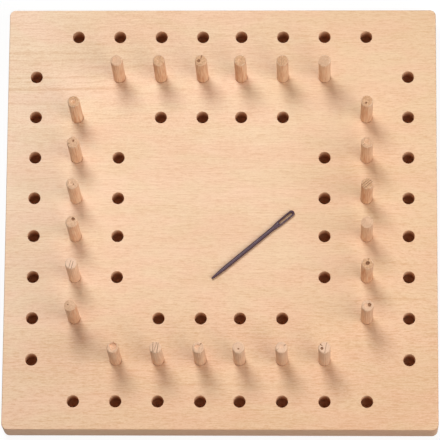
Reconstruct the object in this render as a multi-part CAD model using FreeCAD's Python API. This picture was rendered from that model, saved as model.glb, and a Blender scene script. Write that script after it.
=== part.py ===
import FreeCAD, Part
import math
import os

# Pegboard loom for square patches: a drilled beech board, 24 loose pegs and a needle.
# Millimetres, +Z up, origin at the middle of the board's underside, +Y to the north side.

# Grid of drilled holes
hole_pitch = 28.0
middle_pitch = 26.0         # between the two grid lines beside the middle of the board
outer_half_count = 4        # holes on half a side, and the grid line that this square lies on
peg_half_count = 3
inner_half_count = 2

# Board
edge_margin = 19.0          # from the outer square of holes to the board's edge
board_thickness = 22.0
corner_radius = 4.0
board_edge_radius = 0.7

# Pegs and their sockets
peg_diameter = 8.0
peg_length = 55.0
peg_end_chamfer = 1.2
socket_depth = 14.0
socket_clearance = 0.05     # on the radius

# Needle
needle_length = 71.3
shaft_diameter = 2.8
tip_diameter = 1.4
tip_taper = 11.0
head_width = 4.1
head_thickness = 1.6
head_length = 11.5
neck_length = 8.0
eye_length = 11.0
eye_width = 1.5
eye_wall = 1.7              # between the eye and the needle's end
needle_middle_x = 21.35
needle_middle_y = -19.35
needle_turn = 40.2          # degrees from the east side

UP = FreeCAD.Vector(0, 0, 1)


def point(x, y, z=0.0):
    return FreeCAD.Vector(x, y, z)


def grid_line(number):
    """How far a grid line lies from the middle of the board, counted from 0."""
    return middle_pitch / 2 + number * hole_pitch


def side_holes(half_count):
    """The holes of one square by side, each side numbered from the west or the north."""
    offset = grid_line(half_count)
    right = [grid_line(n) for n in range(half_count)]
    along = [-x for x in reversed(right)] + right
    return {
        "north": [(x, offset) for x in along],
        "east": [(offset, -x) for x in along],
        "south": [(x, -offset) for x in along],
        "west": [(-offset, -x) for x in along],
    }


def rounded_square(side, radius):
    """A flat square face on the ground plane with round corners, centred on the origin."""
    half = side / 2
    straight = half - radius
    edges = []
    for quarter in range(4):
        turn = FreeCAD.Rotation(UP, 90 * quarter)
        start, end = point(half, -straight), point(half, straight)
        bend = straight + radius * math.sqrt(0.5)
        middle, after = point(bend, bend), point(straight, half)
        edges.append(Part.LineSegment(turn * start, turn * end).toShape())
        edges.append(Part.Arc(turn * end, turn * middle, turn * after).toShape())
    return Part.Face(Part.Wire(edges))


def make_board():
    side = 2 * (grid_line(outer_half_count) + edge_margin)
    board = rounded_square(side, corner_radius).extrude(UP * board_thickness)
    rims = [e for e in board.Edges if e.BoundBox.ZLength < board_edge_radius / 2]
    board = board.makeFillet(board_edge_radius, rims)
    radius = peg_diameter / 2 + socket_clearance
    floor = board_thickness - socket_depth
    sockets = []
    for half_count in (outer_half_count, peg_half_count, inner_half_count):
        for holes in side_holes(half_count).values():
            for x, y in holes:
                sockets.append(Part.makeCylinder(radius, socket_depth, point(x, y, floor)))
    return board.cut(Part.makeCompound(sockets))


def make_peg(x, y):
    """A dowel that stands on the floor of its socket."""
    base = point(x, y, board_thickness - socket_depth)
    dowel = Part.makeCylinder(peg_diameter / 2, peg_length, base)
    ends = [e for e in dowel.Edges if isinstance(e.Curve, Part.Circle)]
    return dowel.makeChamfer(peg_end_chamfer, ends)


def across_ellipse(x, width, thickness):
    """An upright ellipse across the needle, at x from its tip."""
    centre = point(x, 0)
    side, top = point(x, width / 2), point(x, 0, thickness / 2)
    return Part.Wire(Part.Ellipse(side, top, centre).toShape())


def needle_shaft(neck_start):
    """The round blunt tip, its taper and the straight shaft, lying along +X from the origin."""
    tip, shaft = tip_diameter / 2, shaft_diameter / 2
    round_middle = point(tip * (1 - math.sqrt(0.5)), tip * math.sqrt(0.5))
    half = [
        Part.Arc(point(0, 0), round_middle, point(tip, tip)).toShape(),
        Part.LineSegment(point(tip, tip), point(tip_taper, shaft)).toShape(),
        Part.LineSegment(point(tip_taper, shaft), point(neck_start, shaft)).toShape(),
        Part.LineSegment(point(neck_start, shaft), point(neck_start, 0)).toShape(),
        Part.LineSegment(point(neck_start, 0), point(0, 0)).toShape(),
    ]
    return Part.Face(Part.Wire(half)).revolve(point(0, 0), point(1, 0), 360)


def needle_head(neck_start):
    """The flattened head, which widens from the shaft and ends in a half circle."""
    head_start = needle_length - head_length
    shaft_end = Part.Circle(point(neck_start, 0), point(1, 0), shaft_diameter / 2)
    widening = Part.makeLoft(
        [Part.Wire(shaft_end.toShape()), across_ellipse(head_start, head_width, head_thickness)],
        True,
        True,
    )
    oval = Part.Face(across_ellipse(head_start, head_width, head_thickness))
    flat = oval.extrude(point(head_length, 0))
    end_radius = head_width / 2
    block_length = head_length - end_radius
    plan = Part.makeBox(
        block_length, head_width, head_thickness, point(head_start, -end_radius, -head_thickness / 2)
    )
    end = Part.makeCylinder(
        end_radius, head_thickness, point(needle_length - end_radius, 0, -head_thickness / 2)
    )
    return widening.fuse(flat.common(plan.fuse(end)))


def needle_eye():
    """The long slot through the head, with round ends."""
    radius = eye_width / 2
    far = needle_length - eye_wall - radius
    near = far - (eye_length - eye_width)
    low = -head_width
    height = 2 * head_width
    slot = Part.makeBox(far - near, eye_width, height, point(near, -radius, low))
    for x in (near, far):
        slot = slot.fuse(Part.makeCylinder(radius, height, point(x, 0, low)))
    return slot


def make_needle():
    """The needle where it lies on the board, its shaft touching the top face."""
    neck_start = needle_length - head_length - neck_length
    needle = needle_shaft(neck_start).fuse(needle_head(neck_start)).cut(needle_eye())
    needle = needle.removeSplitter()
    lift = board_thickness + shaft_diameter / 2
    needle.translate(point(-needle_length / 2, 0))
    needle.rotate(point(0, 0), UP, needle_turn)
    needle.translate(point(needle_middle_x, needle_middle_y, lift))
    return needle


def save(shape, node):
    """Writes one node's solid, after a look at whether it is sound."""
    solid = shape.Solids[0]
    if len(shape.Solids) != 1 or not solid.isValid():
        raise ValueError(node + " is not one valid solid")
    solid.exportStep(os.path.join("parts", node + ".step"))


os.makedirs("parts", exist_ok=True)
save(make_board(), "board")
for side, holes in side_holes(peg_half_count).items():
    for number, (x, y) in enumerate(holes, start=1):
        save(make_peg(x, y), f"peg_{side}_{number}")
save(make_needle(), "needle")
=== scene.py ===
import math
import random

import bmesh
import bpy
from mathutils import Matrix, Vector


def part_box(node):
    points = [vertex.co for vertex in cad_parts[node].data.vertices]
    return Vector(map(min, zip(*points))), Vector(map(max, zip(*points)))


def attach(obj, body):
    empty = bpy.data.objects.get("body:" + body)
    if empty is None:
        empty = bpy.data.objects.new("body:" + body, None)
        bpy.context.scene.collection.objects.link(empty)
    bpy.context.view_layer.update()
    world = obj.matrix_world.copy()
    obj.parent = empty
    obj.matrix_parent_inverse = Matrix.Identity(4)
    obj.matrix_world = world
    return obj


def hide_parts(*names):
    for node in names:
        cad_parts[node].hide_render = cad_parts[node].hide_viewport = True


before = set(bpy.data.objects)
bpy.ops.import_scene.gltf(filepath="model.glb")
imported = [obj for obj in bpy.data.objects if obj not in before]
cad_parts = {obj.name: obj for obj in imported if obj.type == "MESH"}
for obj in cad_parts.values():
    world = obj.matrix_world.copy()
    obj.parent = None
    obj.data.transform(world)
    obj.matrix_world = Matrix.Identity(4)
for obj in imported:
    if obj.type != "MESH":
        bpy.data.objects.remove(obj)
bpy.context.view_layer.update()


# ---- Board ---------------------------------------------------------------------------------
# One slab of steamed beech with the grain running from west to east, planed, fine-sanded and
# left bare. Its corners and edges are rounded over, and three squares of blind sockets for the
# dowel pegs are drilled into it from above.

def mm(length):
    return length / 1000


hole_pitch, middle_pitch = mm(28), mm(26)
outer_half, peg_half, inner_half = 4, 3, 2      # holes on half a side of each square
socket_radius, socket_depth = mm(4.05), mm(14)
open_mouth, peg_mouth = mm(0.15), mm(0.2)       # how wide and deep the mouths flare
point_radius, point_depth = mm(1.134), mm(0.9)  # what the bit's point leaves in a socket's floor
corner_radius, eased_edge = mm(4), mm(0.7)
board_low, board_high = (Vector(corner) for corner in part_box("board"))
board_size = board_high - board_low
board_top = board_high.z
socket_floor = board_top - socket_depth


def square_holes(half_count):
    """Where the holes of one square are, by side, numbered from the west or the north."""
    line = [middle_pitch / 2 + n * hole_pitch for n in range(half_count + 1)]
    along = [-x for x in reversed(line[:-1])] + line[:-1]
    offset = line[-1]
    return {
        "north": [(x, offset) for x in along],
        "east": [(offset, -x) for x in along],
        "south": [(x, -offset) for x in along],
        "west": [(-offset, -x) for x in along],
    }


def paint(hex_colour):
    """An sRGB colour such as "F2CDA9" as linear RGBA."""
    parts = [int(hex_colour[n:n + 2], 16) / 255 for n in (0, 2, 4)]
    return [p / 12.92 if p <= 0.04045 else ((p + 0.055) / 1.055) ** 2.4 for p in parts] + [1]


def add_node(tree, kind, inputs=(), **settings):
    """Adds a node with its settings. Its inputs come in order or by name, and each is a constant,
    an output that it is linked to, or a node that it is linked to by its first output."""
    node = tree.nodes.new("ShaderNode" + kind)
    for name, value in settings.items():
        setattr(node, name, value)
    sockets = [socket for socket in node.inputs if socket.enabled]
    if isinstance(inputs, dict):
        sockets = [next(s for s in sockets if s.name == name) for name in inputs]
        inputs = inputs.values()
    for socket, value in zip(sockets, inputs):
        if isinstance(value, bpy.types.Node):
            value = next(output for output in value.outputs if output.enabled)
        if isinstance(value, bpy.types.NodeSocket):
            tree.links.new(value, socket)
        else:
            socket.default_value = value
    return node


smoothly = {"interpolation_type": "SMOOTHSTEP"}


def new_material(name):
    """An empty material and its node tree."""
    material = bpy.data.materials.new(name)
    material.use_nodes = True
    material.node_tree.nodes.clear()
    return material, material.node_tree


def wood_noise(tree, place, sizes, detail, offset=0.0):
    """Noise drawn out along the fibres of the wood, with its sizes on x, y and z in millimetres."""
    stretch = add_node(tree, "Mapping", {
        "Vector": place, "Location": (offset,) * 3, "Scale": [1 / mm(size) for size in sizes]})
    return add_node(tree, "TexNoise", {"Vector": stretch, "Scale": 1, "Detail": detail})


def swayed(tree, value, *swings):
    """A value that noises carry up and down, each as far as the reach beside it."""
    for noise, reach in swings:
        swing = add_node(tree, "Math", (noise, 0.5), operation="SUBTRACT")
        value = add_node(tree, "Math", (swing, reach, value), operation="MULTIPLY_ADD")
    return value


# Drilled beech: the bit scores the wall in rings 0.7 mm apart. The wall's brown, darker the deeper
# it goes, is painted shade, and its pale top 10 mm is painted light.
drilled_beech_painted_shade, tree = new_material("drilled_beech_painted_shade")
place = add_node(tree, "TexCoord").outputs["Object"]
scoring = wood_noise(tree, place, (10 / 3, 10 / 3, 5 / 7), 3)
wall = add_node(tree, "Mix", (scoring, paint("AE7854"), paint("D29E7A")), data_type="RGBA")
height = add_node(tree, "SeparateXYZ", (place,)).outputs["Z"]
painted_light_near_mouth = add_node(tree, "MapRange", (height, board_top - mm(10), board_top))
wall = add_node(tree, "Mix", (painted_light_near_mouth, wall, paint("FAD6B4")), data_type="RGBA")
wall_shader = add_node(tree, "BsdfPrincipled", {
    "Base Color": wall, "Roughness": 0.7, "Specular IOR Level": 0.3})
add_node(tree, "OutputMaterial", (wall_shader,))

# Sanded beech: fine, even and pale, with the short dark dashes of its rays and pores, faint
# growth lines, and a soft sheen without any gloss.
sanded_beech, tree = new_material("sanded_beech")
surface = add_node(tree, "TexCoord").outputs
place, facing = surface["Object"], surface["Normal"]
along_x, across_y = add_node(tree, "SeparateXYZ", (place,)).outputs[:2]

# The grain wanders by a few millimetres, and more towards the east side
wander = wood_noise(tree, place, (150, 34, 34), 1)
swirl = wood_noise(tree, place, (60, 30, 30), 1, 7.3)
wander_reach = add_node(tree, "MapRange", (along_x, mm(-130), mm(60), mm(4), mm(9)), **smoothly)
swirl_reach = add_node(tree, "MapRange", (along_x, mm(0), mm(140), 0, mm(12)), **smoothly)
shift = swayed(tree, 0.0, (wander, wander_reach), (swirl, swirl_reach))
drift = add_node(tree, "CombineXYZ", {"Y": shift, "Z": shift})
fibre = add_node(tree, "VectorMath", (place, drift), operation="ADD")

# Dark dashes 3 to 6 mm long and half a millimetre thick, and between them flecks, dark threads
# and pale gleams. The real ones are finer than a pixel, so all are drawn coarser.
dash_noise = wood_noise(tree, fibre, (4.6, 0.6, 0.6), 0)
dashes = add_node(tree, "MapRange", (dash_noise, 0.30, 0.52, 1, 0), **smoothly)
thread_noise = wood_noise(tree, fibre, (30, 0.65, 0.65), 0, 5.7)
threads = add_node(tree, "MapRange", (thread_noise, 0.34, 0.52, 1, 0), **smoothly)
gleam_noise = wood_noise(tree, fibre, (18, 0.65, 0.65), 0, 3.1)
gleams = add_node(tree, "MapRange", (gleam_noise, 0.52, 0.72), **smoothly)
flecks = wood_noise(tree, fibre, (1.2, 0.5, 0.5), 0, 2.3)
bands = wood_noise(tree, fibre, (300, 34, 34), 2, 1.9)
patches = wood_noise(tree, place, (70, 45, 45), 1, 9.2)

# Threads, gleams and flecks show more in the north-west, and dashes and flecks in the south
western = add_node(tree, "MapRange", (along_x, mm(60), mm(-60)), **smoothly)
northern = add_node(tree, "MapRange", (across_y, mm(20), mm(90)), **smoothly)
north_west = add_node(tree, "Math", (western, northern), operation="MULTIPLY")
south = add_node(tree, "MapRange", (across_y, mm(20), mm(-110)), **smoothly)
dash_share = add_node(tree, "MapRange", (south, 0, 1, -0.20, -0.27), **smoothly)
thread_share = add_node(tree, "MapRange", (north_west, 0, 1, -0.12, -0.15), **smoothly)
gleam_share = add_node(tree, "MapRange", (north_west, 0, 1, 0.11, 0.13), **smoothly)
fleck_share = 0.36
for region, more in ((south, 0.12), (north_west, 0.22)):
    fleck_share = add_node(tree, "Math", (region, more, fleck_share), operation="MULTIPLY_ADD")
tone = 0.62
for marks, share in ((dashes, dash_share), (threads, thread_share), (gleams, gleam_share)):
    tone = add_node(tree, "Math", (marks, share, tone), operation="MULTIPLY_ADD")
tone = swayed(tree, tone, (flecks, fleck_share), (bands, 0.30), (patches, 0.26))

# Growth lines that stand out: y of the line, its west and east ends, half its width, all in
# millimetres, and its strength. The lines from -180 run in over the board's west edge.
growth_lines = (
    (114, -180, -70, 0.7, 0.20), (109, -180, -40, 0.6, 0.18), (97.5, -180, -60, 0.6, 0.21),
    (89.5, -180, -52, 0.8, 0.34), (79, -180, -90, 0.7, 0.20), (104, -120, 20, 0.5, 0.12),
    (-29, 90, 150, 0.9, 0.22), (-57, 70, 150, 0.8, 0.22), (-112, -60, 40, 0.9, 0.18),
)
line_fade = 30      # millimetres from full strength to nothing at each end
fibre_y = add_node(tree, "SeparateXYZ", (fibre,)).outputs["Y"]
for line_y, west_end, east_end, half, strength in growth_lines:
    away = add_node(tree, "Math", (fibre_y, mm(line_y)), operation="SUBTRACT")
    away = add_node(tree, "Math", (away,), operation="ABSOLUTE")
    line = add_node(tree, "MapRange", (away, 0, mm(2 * half), -strength, 0), **smoothly)
    for end, start in ((west_end, west_end + line_fade), (east_end, east_end - line_fade)):
        fade = add_node(tree, "MapRange", (along_x, mm(end), mm(start)), **smoothly)
        line = add_node(tree, "Math", (line, fade), operation="MULTIPLY")
    tone = add_node(tree, "Math", (tone, line), operation="ADD")

tone = add_node(tree, "MapRange", (tone, 0, 1), **smoothly)
wood = add_node(tree, "Mix", (tone, paint("E6BC94"), paint("FCDEBE")), data_type="RGBA")

# The slab is paler towards its west edge and darker towards the south and the north, partly in its
# own tone and partly as painted light and shade; it is redder towards the east, and here and there
# pinker. A tint multiplies the colour, so the pattern stays.
west_tone_and_painted_light = add_node(tree, "MapRange", (along_x, mm(-50), mm(-150), 0, 0.4), **smoothly)
south_tone_and_painted_shade = add_node(tree, "MapRange", (across_y, mm(40), mm(-150), 0, 0.72), **smoothly)
eastern = add_node(tree, "MapRange", (along_x, mm(0), mm(110)), **smoothly)
less_south = add_node(tree, "MapRange", (across_y, mm(-110), mm(0), 0.35, 1), **smoothly)
redder_east = add_node(tree, "Math", (eastern, less_south), operation="MULTIPLY")
north_tone_and_painted_shade = add_node(tree, "MapRange", (across_y, mm(70), mm(150), 0, 0.3), **smoothly)
flush = wood_noise(tree, place, (34, 14, 14), 1, 4.4)
pinker = add_node(tree, "MapRange", (flush, 0.35, 0.65), **smoothly)
for amount, tint in (
    (west_tone_and_painted_light, (1.02, 1.12, 1.27)),
    (south_tone_and_painted_shade, (0.87, 0.79, 0.72)),
    (redder_east, (0.937, 0.905, 0.85)),
    (north_tone_and_painted_shade, (0.925, 0.895, 0.875)),
    (pinker, (1.02, 0.97, 1.0)),
):
    scale = add_node(tree, "Mix", (amount, (1, 1, 1), tint), data_type="VECTOR")
    wood = add_node(tree, "VectorMath", (wood, scale), operation="MULTIPLY")

# The west and east sides are crosscut, and their end grain is browner
sideways = add_node(tree, "SeparateXYZ", (facing,)).outputs["X"]
sideways = add_node(tree, "Math", (sideways,), operation="ABSOLUTE")
end_grain = add_node(tree, "MapRange", (sideways, 0.6, 0.95, 0, 0.5), **smoothly)
wood = add_node(tree, "Mix", (end_grain, wood, paint("D3A67C")), data_type="RGBA")
relief = add_node(tree, "Bump", {"Height": dashes, "Strength": 0.12, "Distance": mm(0.15)})
board_shader = add_node(tree, "BsdfPrincipled", {
    "Base Color": wood, "Roughness": 0.6, "Specular IOR Level": 0.35, "Normal": relief})
add_node(tree, "OutputMaterial", (board_shader,))


def deselect_all():
    for thing in list(bpy.context.selected_objects):
        thing.select_set(False)


def only(piece):
    """Makes one object the selected and active one."""
    deselect_all()
    piece.select_set(True)
    bpy.context.view_layer.objects.active = piece


def fresh(name):
    """The primitive that was just added, named and with its place taken into its mesh."""
    piece = bpy.context.object
    piece.name = piece.data.name = name
    only(piece)
    bpy.ops.object.transform_apply(location=True, rotation=True, scale=True)
    return piece


def pick(part, test):
    """In edit mode, selects only the vertices, edges or faces that pass the test."""
    bpy.ops.mesh.select_mode(type=part)
    bpy.ops.mesh.select_all(action="DESELECT")
    mesh = bmesh.from_edit_mesh(bpy.context.edit_object.data)
    for item in {"VERT": mesh.verts, "EDGE": mesh.edges, "FACE": mesh.faces}[part]:
        if test(item):
            item.select_set(True)
    mesh.select_flush_mode()
    bmesh.update_edit_mesh(bpy.context.edit_object.data)


def rise(edge):
    """The difference in height between the ends of an edge."""
    return abs(edge.verts[0].co.z - edge.verts[1].co.z)


deselect_all()
bpy.ops.mesh.primitive_cube_add(size=1, location=(board_low + board_high) / 2, scale=board_size)
board = fresh("beech_board")
board.data.materials.append(sanded_beech)
bpy.ops.object.mode_set(mode="EDIT")
pick("EDGE", lambda edge: rise(edge) > board_size.z / 2)
bpy.ops.mesh.bevel(offset=corner_radius, segments=10, affect="EDGES")
pick("EDGE", lambda edge: rise(edge) < board_size.z / 4)
bpy.ops.mesh.bevel(offset=eased_edge, segments=4, affect="EDGES")
# Cuts halfway between the rows of sockets give each socket a flat square of its own
halfway = [0.0]
for n in range(outer_half):
    line = middle_pitch / 2 + (n + 0.5) * hole_pitch
    halfway += [line, -line]
for line in halfway:
    for direction in ((1, 0, 0), (0, 1, 0)):
        bpy.ops.mesh.select_all(action="SELECT")
        bpy.ops.mesh.bisect(plane_co=(line, line, 0), plane_no=direction)
bpy.ops.object.mode_set(mode="OBJECT")


def drill_bit(mouth, mouth_material):
    """The cutter for one hole: straight, with a flare at its mouth and a small point."""
    straight = socket_depth - mouth
    flare = 1 + mouth / socket_radius
    deselect_all()
    bpy.ops.mesh.primitive_cylinder_add(
        vertices=48, radius=socket_radius, depth=straight,
        location=(0, 0, socket_floor + straight / 2))
    bit = fresh("drill_bit")
    bit.data.materials.append(drilled_beech_painted_shade)
    bit.data.materials.append(mouth_material)
    bpy.ops.object.mode_set(mode="EDIT")
    pick("FACE", lambda face: face.normal.z > 0.9)
    for _ in range(2):      # up to the board's face, and on past it
        bpy.ops.mesh.extrude_region_move(TRANSFORM_OT_translate={"value": (0, 0, mouth)})
        bpy.ops.transform.resize(value=(flare, flare, 1))
    pick("FACE", lambda face: face.calc_center_median().z > board_top - mouth)
    bit.active_material_index = 1
    bpy.ops.object.material_slot_assign()
    pick("FACE", lambda face: face.normal.z < -0.9)
    bpy.ops.mesh.inset(thickness=socket_radius - point_radius)
    bpy.ops.mesh.extrude_region_move(TRANSFORM_OT_translate={"value": (0, 0, -point_depth)})
    bpy.ops.transform.resize(value=(0.15, 0.15, 1))     # nearly to a point
    bpy.ops.object.mode_set(mode="OBJECT")
    return bit


def own_copy(piece):
    """A copy of a piece with a mesh of its own."""
    copy = piece.copy()
    copy.data = piece.data.copy()
    bpy.context.collection.objects.link(copy)
    return copy


def apply_modifier(piece, kind, **settings):
    """Adds a modifier with its settings and applies it."""
    only(piece)
    modifier = piece.modifiers.new(kind.lower(), kind)
    for name, value in settings.items():
        setattr(modifier, name, value)
    bpy.ops.object.modifier_apply(modifier=modifier.name)


def cut(piece, cutter):
    """Takes the cutter out of the piece; the cut faces keep the cutter's material."""
    apply_modifier(piece, "BOOLEAN", operation="DIFFERENCE", object=cutter, solver="EXACT",
                   material_mode="TRANSFER")
    bpy.data.objects.remove(cutter)


def smooth(piece, degrees):
    """Rounded faces shade smooth and large flat ones stay flat."""
    only(piece)
    bpy.ops.object.shade_smooth_by_angle(angle=math.radians(degrees))
    apply_modifier(piece, "WEIGHTED_NORMAL", keep_sharp=True, weight=90)


# The open holes have a clean, pale mouth. The pegs have worn theirs a little wider, and it takes
# the drilled wall's colour with its painted light and shade.
open_bit = drill_bit(open_mouth, sanded_beech)
peg_bit = drill_bit(peg_mouth, drilled_beech_painted_shade)
bits = []
for half_count, bit in ((outer_half, open_bit), (peg_half, peg_bit), (inner_half, open_bit)):
    for holes in square_holes(half_count).values():
        for x, y in holes:
            bits.append(own_copy(bit))
            bits[-1].data.transform(Matrix.Translation((x, y, 0)))
bpy.data.objects.remove(open_bit)
bpy.data.objects.remove(peg_bit)
deselect_all()
for bit in bits:
    bit.select_set(True)
bpy.context.view_layer.objects.active = bits[0]
bpy.ops.object.join()
cut(board, bits[0])
smooth(board, 30)
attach(board, "board")
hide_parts("board")


# ---- Pegs ----------------------------------------------------------------------------------
# 24 loose pegs of 8 mm beech dowel pin, each pushed into a socket of the middle square. The rod
# is pressed with shallow flutes, sawn off and tumbled, so the ends are rounded over and every
# one has its own chips, splits and saw marks.

peg_radius, peg_length, peg_rounding = mm(4), mm(55), mm(1.2)
flutes, flute_depth = 18, mm(0.2)
saw_reach, waste_size = mm(9), mm(14)   # both more than an end is wide
uneven = 0.15       # how far a pit's rim strays, as a part of its radius
peg_top = socket_floor + peg_length

# Torn fibre: the splits of an end hold dust and shadow, in shreds 0.7 mm wide
torn_fibre, tree = new_material("torn_fibre")
place = add_node(tree, "TexCoord").outputs["Object"]
shreds = add_node(tree, "TexNoise", {"Vector": place, "Scale": 1500, "Detail": 2})
torn = add_node(tree, "Mix", (shreds, paint("74492F"), paint("C0906A")), data_type="RGBA")
torn_shader = add_node(tree, "BsdfPrincipled", {"Base Color": torn, "Roughness": 0.8})
add_node(tree, "OutputMaterial", (torn_shader,))

# Dowel beech: redder than the board, with fine dark threads along the rod. Its end grain is matt
# and speckled, and where it is bleached it is nearly white. How pale a peg is comes partly from
# bleaching and, in the south row, partly from painted light.
dowel_beech, tree = new_material("dowel_beech")
surface = add_node(tree, "TexCoord").outputs
place, facing = surface["Object"], surface["Normal"]
streaks = wood_noise(tree, place, (0.9, 0.9, 14), 2)
long_streaks = wood_noise(tree, place, (2.4, 2.4, 50), 2)
rod_tone = wood_noise(tree, place, (22, 22, 4000), 0)       # one tone to a rod
tone = swayed(tree, 0.5, (streaks, 1.2), (long_streaks, 0.9), (rod_tone, 0.6))
tone = add_node(tree, "MapRange", (tone, 0, 1), **smoothly)
rod = add_node(tree, "Mix", (tone, paint("DEA67D"), paint("FFE1C2")), data_type="RGBA")
bleach_and_painted_light = add_node(tree, "Attribute", attribute_name="bleach_and_painted_light").outputs["Fac"]
half_bleach_and_light = add_node(tree, "Math", (bleach_and_painted_light, 0.6), operation="MULTIPLY")
rod = add_node(tree, "Mix", (half_bleach_and_light, rod, paint("FFE2C8")), data_type="RGBA")
# The end grain's speckles are about 1 mm wide
speckle = add_node(tree, "TexNoise", {"Vector": place, "Scale": 900, "Detail": 3})
speckle = add_node(tree, "MapRange", (speckle, 0.3, 0.7), **smoothly)
end = add_node(tree, "Mix", (speckle, paint("C6966F"), paint("E0B38C")), data_type="RGBA")
end = add_node(tree, "Mix", (bleach_and_painted_light, end, paint("F0CBB0")), data_type="RGBA")
upwards = add_node(tree, "SeparateXYZ", (facing,)).outputs["Z"]
upwards = add_node(tree, "MapRange", (upwards, 0.7, 0.98), **smoothly)
rod = add_node(tree, "Mix", (upwards, rod, end), data_type="RGBA")
# Painted shade: a browner ring where the peg enters the board, from inside the socket to 1.2 mm
# above the board's face
height = add_node(tree, "SeparateXYZ", (place,)).outputs["Z"]
below = add_node(tree, "MapRange", (height, board_top - mm(3), board_top - mm(0.5)), **smoothly)
above = add_node(tree, "MapRange", (height, board_top, board_top + mm(1.2), 0.4, 0), **smoothly)
ring = add_node(tree, "Math", (below, above), operation="MULTIPLY")
rod = add_node(tree, "Mix", (ring, rod, paint("A8744E")), data_type="RGBA")
relief = add_node(tree, "Bump", {"Height": streaks, "Strength": 0.3, "Distance": mm(0.2)})
rod_shader = add_node(tree, "BsdfPrincipled", {
    "Base Color": rod, "Roughness": 0.6, "Specular IOR Level": 0.35, "Normal": relief})
add_node(tree, "OutputMaterial", (rod_shader,))

deselect_all()
bpy.ops.mesh.primitive_cylinder_add(
    vertices=4 * flutes, radius=peg_radius, depth=peg_length,
    location=(0, 0, socket_floor + peg_length / 2))
rod_blank = fresh("dowel")
rod_blank.data.materials.append(dowel_beech)
rod_blank.data.materials.append(torn_fibre)
bpy.ops.object.mode_set(mode="EDIT")
pick("EDGE", lambda edge: rise(edge) < peg_rounding)
bpy.ops.mesh.bevel(offset=peg_rounding, segments=5, affect="EDGES")
bpy.ops.mesh.select_all(action="SELECT")
bpy.ops.mesh.bisect(plane_co=(0, 0, board_top + mm(2)), plane_no=(0, 0, 1))


def in_flute(vertex):
    """Whether a vertex lies at the middle of a flute: every fourth one round the rod does."""
    turns = math.atan2(vertex.co.y, vertex.co.x) / (2 * math.pi) * flutes
    return abs(turns - round(turns)) < 0.1


pick("VERT", in_flute)
narrow = 1 - flute_depth / peg_radius
bpy.ops.transform.resize(value=(narrow, narrow, 1), center_override=(0, 0, 0))
bpy.ops.object.mode_set(mode="OBJECT")


def split(angle, reach, width, depth):
    """A wedge that opens a split in the end: its bearing, and how far in, wide and deep it goes."""
    bpy.ops.mesh.primitive_cone_add(vertices=3, radius1=mm(width), radius2=0, depth=mm(reach) * 2,
                                    location=(0, 0, 0), rotation=(0, math.radians(-90), 0))
    wedge = fresh("split")
    wedge.data.transform(Matrix.Diagonal((1, 1, depth / width, 1)))
    wedge.data.transform(Matrix.Translation((peg_radius, 0, peg_top)))
    wedge.data.transform(Matrix.Rotation(math.radians(angle), 4, "Z"))
    wedge.data.materials.append(torn_fibre)
    return wedge


def pit(x, y, radius, depth, material=torn_fibre):
    """A broken-out spot on the end, with an uneven rim that its place decides."""
    bpy.ops.mesh.primitive_ico_sphere_add(
        subdivisions=2, radius=mm(radius), location=(mm(x), mm(y), peg_top))
    spot = fresh("pit")
    chance = random.Random(int(1000 * (x + 5) + 10 * (y + 5)))
    for vertex in spot.data.vertices:
        vertex.co.x += mm(chance.uniform(-uneven, uneven) * radius)
        vertex.co.y += mm(chance.uniform(-uneven, uneven) * radius)
        vertex.co.z = peg_top + (vertex.co.z - peg_top) * depth / radius
    spot.data.materials.append(material)
    return spot


def dish(x, y, radius, depth):
    """A shallow hollow that the saw tore, still clean wood."""
    return pit(x, y, radius, depth, dowel_beech)


def saw_line(angle, offset, width, depth):
    """One groove that the saw left right across the end."""
    bpy.ops.mesh.primitive_cube_add(
        size=1, location=(0, mm(offset), peg_top), scale=(saw_reach, mm(width), mm(2 * depth)))
    groove = fresh("saw_line")
    groove.data.transform(Matrix.Rotation(math.radians(angle), 4, "Z"))
    groove.data.materials.append(torn_fibre)
    return groove


def slant(bearing, tilt, start):
    """A flat that the saw left when it ran off: it falls towards the bearing from the start."""
    bpy.ops.mesh.primitive_cube_add(size=waste_size, location=(0, 0, waste_size / 2))
    waste = fresh("slant")
    waste.data.transform(Matrix.Rotation(math.radians(tilt), 4, "Y"))
    waste.data.transform(Matrix.Translation((mm(start), 0, peg_top)))
    waste.data.transform(Matrix.Rotation(math.radians(bearing), 4, "Z"))
    waste.data.materials.append(dowel_beech)
    return waste


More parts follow.
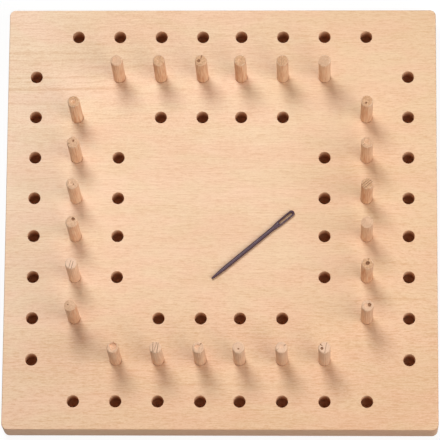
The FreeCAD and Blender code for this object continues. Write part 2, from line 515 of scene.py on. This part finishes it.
# Marks as they show on each end; sizes and places from its middle in millimetres, bearings
# in degrees from east
end_marks = {
    "peg_north_1": [(dish, -0.8, 0.6, 1.6, 0.5)],
    "peg_north_2": [(split, 60, 3.0, 0.45, 0.7), (dish, 0.4, -0.6, 1.2, 0.5)],
    "peg_north_3": [(split, 80, 4.4, 1.3, 2.2), (pit, -1.4, -0.3, 1.1, 0.9)],
    "peg_north_4": [(dish, 0.2, 0.2, 1.7, 0.5), (pit, 0.5, 0.9, 0.6, 0.5)],
    "peg_north_5": [(saw_line, 90, -1.1, 0.15, 0.15), (saw_line, 90, 0.4, 0.15, 0.15),
                    (saw_line, 90, 1.7, 0.15, 0.15)],
    "peg_north_6": [(slant, 215, 24, -1.2), (split, 50, 2.2, 0.35, 0.6)],
    "peg_west_1": [(dish, 0.1, -0.4, 1.9, 1.3)],
    "peg_west_2": [(split, 200, 3.0, 0.8, 1.3), (pit, 0.3, 0.9, 0.8, 0.6)],
    "peg_west_3": [(dish, -0.5, 0.3, 1.4, 0.5), (pit, 0.9, -0.6, 0.5, 0.3)],
    "peg_west_4": [(pit, 1.1, 1.9, 1.2, 1.3)],
    "peg_west_5": [(saw_line, 75, -1.2, 0.3, 0.4), (saw_line, 75, 0.4, 0.25, 0.4),
                   (slant, 60, 14, 0.5)],
    "peg_west_6": [(slant, 200, 20, 0.4), (pit, -1.6, 0.4, 0.6, 0.6)],
    "peg_south_1": [(dish, 0.6, 0.7, 2.6, 2.3), (pit, 0.7, 1.3, 1.1, 1.6)],
    "peg_south_2": [(saw_line, 82, -1.5, 0.3, 0.6), (saw_line, 70, 0.1, 0.2, 0.5),
                    (saw_line, 88, 1.6, 0.3, 0.6)],
    "peg_south_3": [(dish, -0.7, 0.2, 1.8, 1.3), (split, 55, 3.4, 1.2, 2.0)],
    "peg_south_4": [(pit, 0.1, -0.9, 0.6, 0.4)],
    "peg_south_5": [(split, 35, 4.2, 0.8, 1.4), (split, 205, 2.6, 0.6, 1.0),
                    (dish, 0.5, 0.6, 1.6, 0.6)],
    "peg_south_6": [(split, 140, 3.2, 1.4, 2.2), (saw_line, 80, -0.8, 0.25, 0.3),
                    (pit, -1.7, -0.6, 1.0, 1.2)],
    "peg_east_1": [(pit, -0.6, -1.2, 0.8, 0.6), (slant, 70, 16, 0.9)],
    "peg_east_2": [(split, 215, 2.8, 0.8, 1.2), (dish, 0.2, 0.3, 2.0, 1.1),
                   (pit, -0.2, 0.8, 0.8, 0.7)],
    "peg_east_3": [(saw_line, 40, -1.2, 0.3, 0.5), (saw_line, 40, 0.2, 0.3, 0.5),
                   (saw_line, 40, 1.5, 0.3, 0.5)],
    "peg_east_4": [(split, 225, 3.6, 1.3, 1.6), (slant, 225, 22, -0.4)],
    "peg_east_5": [(pit, 0.2, 0.2, 1.4, 1.6), (split, 75, 3.4, 0.8, 1.6)],
    "peg_east_6": [(pit, 1.3, 0.4, 1.3, 1.2), (dish, -0.6, 0.0, 1.5, 0.9)],
}
# How pale a peg is, from 0 to 1: bleached, and in the south row partly painted light that makes up
# for the weaker lamp light there
peg_bleach_and_light = {
    "peg_north_1": 0.35, "peg_north_6": 0.3, "peg_west_2": 0.2, "peg_west_3": 0.3,
    "peg_west_4": 0.3, "peg_west_5": 0.9, "peg_west_6": 0.3, "peg_south_1": 0.45,
    "peg_south_2": 0.6, "peg_south_3": 0.5, "peg_south_4": 0.6, "peg_south_5": 0.7,
    "peg_south_6": 0.8, "peg_east_2": 0.2, "peg_east_4": 0.4, "peg_east_6": 0.5,
}

for side, holes in square_holes(peg_half).items():
    for number, (x, y) in enumerate(holes, start=1):
        node = f"peg_{side}_{number}"
        peg = own_copy(rod_blank)
        peg.name = peg.data.name = "dowel_" + node
        turn = 7 * (number + len(side))     # no two neighbours turn their flutes the same way
        peg.data.transform(Matrix.Rotation(math.radians(turn), 4, "Z"))
        for mark, *sizes in end_marks[node]:
            deselect_all()
            cut(peg, mark(*sizes))
        paleness = peg.data.attributes.new("bleach_and_painted_light", "FLOAT", "POINT")
        values = [peg_bleach_and_light.get(node, 0.0)] * len(peg.data.vertices)
        paleness.data.foreach_set("value", values)
        peg.data.transform(Matrix.Translation((x, y, 0)))
        smooth(peg, 40)
        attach(peg, node)
        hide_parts(node)
bpy.data.objects.remove(rod_blank)


# ---- Needle --------------------------------------------------------------------------------
# A blunt wool needle, moulded in one piece from dark aubergine plastic. It is round up to the
# neck, where it flattens into a wider head with a long eye, and it lies loose on the board.

needle_length = mm(71.3)
shaft_radius, tip_radius = mm(1.4), mm(0.7)
tip_start = mm(0.15)                        # radius of the first ring
tip_taper, taper_radius = mm(11), mm(1.1)   # length of the taper, and radius halfway along it
head_half_width, head_half_thickness = mm(2.05), mm(0.8)
head_length, neck_length = mm(11.5), mm(8)
eye_length, eye_width, eye_wall = mm(11), mm(1.5), mm(1.7)
eye_core, eye_flare = mm(0.4), mm(0.7)      # height of the straight part, and of each rim's flare
eye_rim = (1.08, 1.6, 1)                    # how much longer and wider the eye is past its rims
needle_middle, needle_turn = (mm(21.35), mm(-19.35)), 40.2

# Moulded plastic: satin, almost black, with a violet cast in its highlights. Its colour clouds
# over 4 mm and its gloss over 1 mm, so that no highlight is an even line.
moulded_plastic, tree = new_material("moulded_plastic")
place = add_node(tree, "TexCoord").outputs["Object"]
cloud = add_node(tree, "TexNoise", {"Vector": place, "Scale": 260, "Detail": 2})
dye = add_node(tree, "Mix", (cloud, paint("3A1E2C"), paint("4A283A")), data_type="RGBA")
mottle = add_node(tree, "TexNoise", {"Vector": place, "Scale": 900, "Detail": 2})
satin = add_node(tree, "MapRange", (mottle, 0.3, 0.7, 0.3, 0.42), **smoothly)
needle_shader = add_node(tree, "BsdfPrincipled", {
    "Base Color": dye, "Roughness": satin, "Specular IOR Level": 0.35})
add_node(tree, "OutputMaterial", (needle_shader,))

# Stations along the needle from its tip: distance, half width and half thickness
head_start = needle_length - head_length
neck_start = head_start - neck_length
stations = []
for step in range(1, 6):
    bend = math.radians(90 * step / 5)
    radius = tip_radius * math.sin(bend)
    stations.append((tip_radius * (1 - math.cos(bend)), radius, radius))
stations.append((tip_taper / 2, taper_radius, taper_radius))
stations.append((tip_taper, shaft_radius, shaft_radius))
stations.append((neck_start, shaft_radius, shaft_radius))
for step in range(1, 7):
    part = step / 6
    eased = part * part * (3 - 2 * part)
    stations.append((neck_start + neck_length * part,
                     shaft_radius + (head_half_width - shaft_radius) * eased,
                     shaft_radius + (head_half_thickness - shaft_radius) * eased))
round_start = needle_length - head_half_width
stations.append((round_start, head_half_width, head_half_thickness))
for step in range(1, 7):
    bend = math.radians(86 * step / 6)      # short of 90 degrees, so the end keeps a last ring
    stations.append((round_start + head_half_width * math.sin(bend),
                     head_half_width * math.cos(bend),
                     head_half_thickness * math.cos(bend) ** 0.6))

deselect_all()
bpy.ops.mesh.primitive_circle_add(
    vertices=32, radius=1, fill_type="NGON", rotation=(0, math.radians(-90), 0))
needle = fresh("wool_needle")
needle.data.transform(Matrix.Diagonal((1, tip_start, tip_start, 1)))
bpy.ops.object.mode_set(mode="EDIT")
bpy.ops.mesh.select_all(action="SELECT")
reached, half_width, half_thickness = 0.0, tip_start, tip_start
for distance, next_width, next_thickness in stations:
    bpy.ops.mesh.extrude_region_move(
        TRANSFORM_OT_translate={"value": (distance - reached, 0, 0)})
    bpy.ops.transform.resize(value=(1, next_width / half_width, next_thickness / half_thickness),
                             center_override=(distance, 0, 0))
    reached, half_width, half_thickness = distance, next_width, next_thickness
bpy.ops.mesh.select_all(action="SELECT")
bpy.ops.mesh.normals_make_consistent(inside=False)
bpy.ops.object.mode_set(mode="OBJECT")
needle.data.materials.append(moulded_plastic)

# The eye is a slot with round ends, and its rims flare on both faces
eye_middle = needle_length - eye_wall - eye_length / 2
deselect_all()
bpy.ops.mesh.primitive_cube_add(
    size=1, location=(eye_middle, 0, 0), scale=(eye_length, eye_width, eye_core))
eye = fresh("eye_cutter")
eye.data.materials.append(moulded_plastic)
bpy.ops.object.mode_set(mode="EDIT")
pick("EDGE", lambda edge: rise(edge) > eye_core / 2)
bpy.ops.mesh.bevel(offset=eye_width * 0.49, segments=8, affect="EDGES")
for up in (1, -1):
    pick("FACE", lambda face: face.normal.z * up > 0.9)
    bpy.ops.mesh.extrude_region_move(TRANSFORM_OT_translate={"value": (0, 0, up * eye_flare)})
    bpy.ops.transform.resize(value=eye_rim, center_override=(eye_middle, 0, 0))
bpy.ops.object.mode_set(mode="OBJECT")
cut(needle, eye)
needle.data.transform(Matrix.Translation((-needle_length / 2, 0, 0)))
needle.data.transform(Matrix.Rotation(math.radians(needle_turn), 4, "Z"))
needle.data.transform(Matrix.Translation((*needle_middle, board_top + shaft_radius)))
smooth(needle, 40)
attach(needle, "needle")
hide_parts("needle")


# ---- Stage, light and camera ---------------------------------------------------------------
# The board lies flat on a white table. The main soft lamp stands high behind it on the left, a
# larger and weaker one in front of it on the right, and the camera looks down from above the
# south side.

table_size, table_gap = 6, mm(0.2)      # the gap keeps the two faces from flickering


def seen(tree):
    """1 for what the camera sees, straight or in gloss or glass, and 0 for the light it gives."""
    rays = add_node(tree, "LightPath").outputs
    total = 0.0
    for kind in ("Is Camera Ray", "Is Glossy Ray", "Is Transmission Ray"):
        total = add_node(tree, "Math", (rays[kind], total), operation="ADD")
    return total


# White table: matt, so that it keeps the board's shadow, with a glow that whitens what is seen
# of it
table_white, tree = new_material("table_white")
looked_at = seen(tree)
colour = add_node(tree, "Mix", (looked_at, paint("AEA199"), paint("FFFFFF")), data_type="RGBA")
matt = add_node(tree, "BsdfDiffuse", {"Color": colour})
glow = add_node(tree, "Emission", {"Color": paint("FFFFFF"), "Strength": 1.03})
share = add_node(tree, "Math", (looked_at, 0.85), operation="MULTIPLY")
table_mix = add_node(tree, "MixShader", (share, matt, glow))
add_node(tree, "OutputMaterial", (table_mix,))
deselect_all()
bpy.ops.mesh.primitive_plane_add(size=table_size, location=(0, 0, -table_gap))
floor = fresh("table_top")
floor.data.materials.append(table_white)

world = bpy.data.worlds.new("studio")
bpy.context.scene.world = world
world.use_nodes = True
tree = world.node_tree
tree.nodes.clear()
ambient = add_node(tree, "Background", {"Color": paint("FFEBDB"), "Strength": 0.14})
white = add_node(tree, "Background", {"Color": paint("FFFFFF"), "Strength": 1.0})
sky = add_node(tree, "MixShader", (seen(tree), ambient, white))
add_node(tree, "OutputWorld", (sky,))


def lamp(name, bearing, elevation, distance, size, level, tint):
    """A square soft lamp that faces the board, its bearing in degrees from north and its
    distance and size in metres; level 1 alone lights a flat surface fully."""
    bearing, elevation = math.radians(bearing), math.radians(elevation)
    flat = math.cos(elevation)
    towards = Vector((math.sin(bearing) * flat, math.cos(bearing) * flat, math.sin(elevation)))
    data = bpy.data.lights.new(name, "AREA")
    data.shape, data.size, data.color = "SQUARE", size, tint
    data.energy = math.pi ** 2 * distance ** 2 * level / math.sin(elevation)
    light = bpy.data.objects.new(name, data)
    light.location = towards * distance
    light.rotation_euler = towards.to_track_quat("Z", "Y").to_euler()
    bpy.context.collection.objects.link(light)


lamp("key_lamp", -24, 64, 2.2, 0.73, 0.53, (0.955, 1.0, 1.0))
lamp("fill_lamp", 122, 47, 1.5, 1.1, 0.375, (1.0, 0.96, 0.92))

camera_data = bpy.data.cameras.new("camera")
camera_data.sensor_width = 36
camera_data.lens = 300.3
camera_data.clip_end = 20
camera = bpy.data.objects.new("camera", camera_data)
camera.location = (0.0694, -0.5775, 2.4)
camera.rotation_mode = "ZXY"
camera.rotation_euler = [math.radians(angle) for angle in (13.601, 1.688, 0.424)]
bpy.context.collection.objects.link(camera)
bpy.context.scene.camera = camera
bpy.context.scene.view_settings.view_transform = "Standard"
